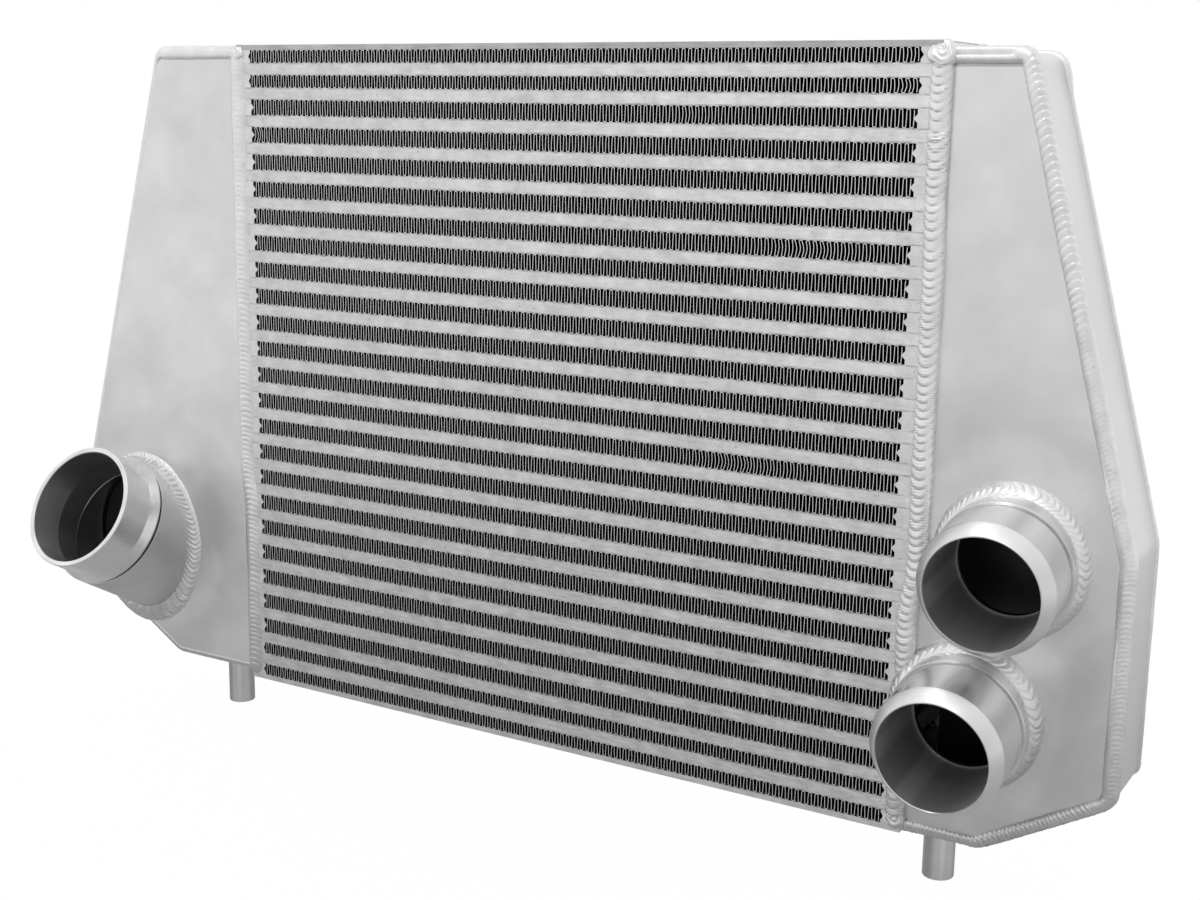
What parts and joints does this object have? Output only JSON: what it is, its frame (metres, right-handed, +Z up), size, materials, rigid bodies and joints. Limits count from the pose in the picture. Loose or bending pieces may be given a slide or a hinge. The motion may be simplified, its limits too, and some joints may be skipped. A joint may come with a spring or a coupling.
{
  "type": "intercooler",
  "caption": "Bar-and-plate air-to-air intercooler with folded fins, welded end tanks, hose spigots and locating pins under the tanks.",
  "frame": {"origin": "on the left locating pin's axis at the left tank's floor, halfway through the core's depth", "axes": "+X along the core from the left tank to the right one, +Y from the spigot side to the back, +Z up"},
  "size_m": [0.6619, 0.1271, 0.4135],
  "materials": {
    "ambient_fin": "mill",
    "charge_fin": "mill",
    "parting_sheet": "mill",
    "charge_bar": "satin",
    "end_bar": "satin",
    "side_plate": "satin",
    "weld_bead": "rippled satin",
    "pin": "satin",
    "tank_sheet": "satin sheet",
    "spigot": "turned",
    "ferrule": "turned",
    "port_neck": "satin"
  },
  "bodies": {
    "root": {"ambient_fins_01": "ambient_fin", "ambient_fins_02": "ambient_fin", "ambient_fins_03": "ambient_fin", "ambient_fins_04": "ambient_fin", "ambient_fins_05": "ambient_fin", "ambient_fins_06": "ambient_fin", "ambient_fins_07": "ambient_fin", "ambient_fins_08": "ambient_fin", "ambient_fins_09": "ambient_fin", "ambient_fins_10": "ambient_fin", "ambient_fins_11": "ambient_fin", "ambient_fins_12": "ambient_fin", "ambient_fins_13": "ambient_fin", "ambient_fins_14": "ambient_fin", "ambient_fins_15": "ambient_fin", "ambient_fins_16": "ambient_fin", "ambient_fins_17": "ambient_fin", "ambient_fins_18": "ambient_fin", "ambient_fins_19": "ambient_fin", "ambient_fins_20": "ambient_fin", "ambient_fins_21": "ambient_fin", "ambient_fins_22": "ambient_fin", "ambient_fins_23": "ambient_fin", "ambient_fins_24": "ambient_fin", "ambient_fins_25": "ambient_fin", "back_charge_bars": "charge_bar", "bottom_side_plate": "side_plate", "charge_fins": "charge_fin", "front_charge_bars": "charge_bar", "left_back_weld": "weld_bead", "left_end_bars": "end_bar", "left_front_weld": "weld_bead", "left_pin": "pin", "left_port_ferrule": "ferrule", "left_port_neck": "port_neck", "left_port_weld": "weld_bead", "left_seam_weld": "weld_bead", "left_tank_back_plate": "tank_sheet", "left_tank_front_plate": "tank_sheet", "left_tank_wall": "tank_sheet", "lower_spigot": "spigot", "lower_spigot_weld": "weld_bead", "parting_sheets": "parting_sheet", "right_back_weld": "weld_bead", "right_end_bars": "end_bar", "right_front_weld": "weld_bead", "right_pin": "pin", "right_seam_weld": "weld_bead", "right_tank_back_plate": "tank_sheet", "right_tank_front_plate": "tank_sheet", "right_tank_wall": "tank_sheet", "top_side_plate": "side_plate", "upper_spigot": "spigot", "upper_spigot_weld": "weld_bead"}
  },
  "joints": []
}
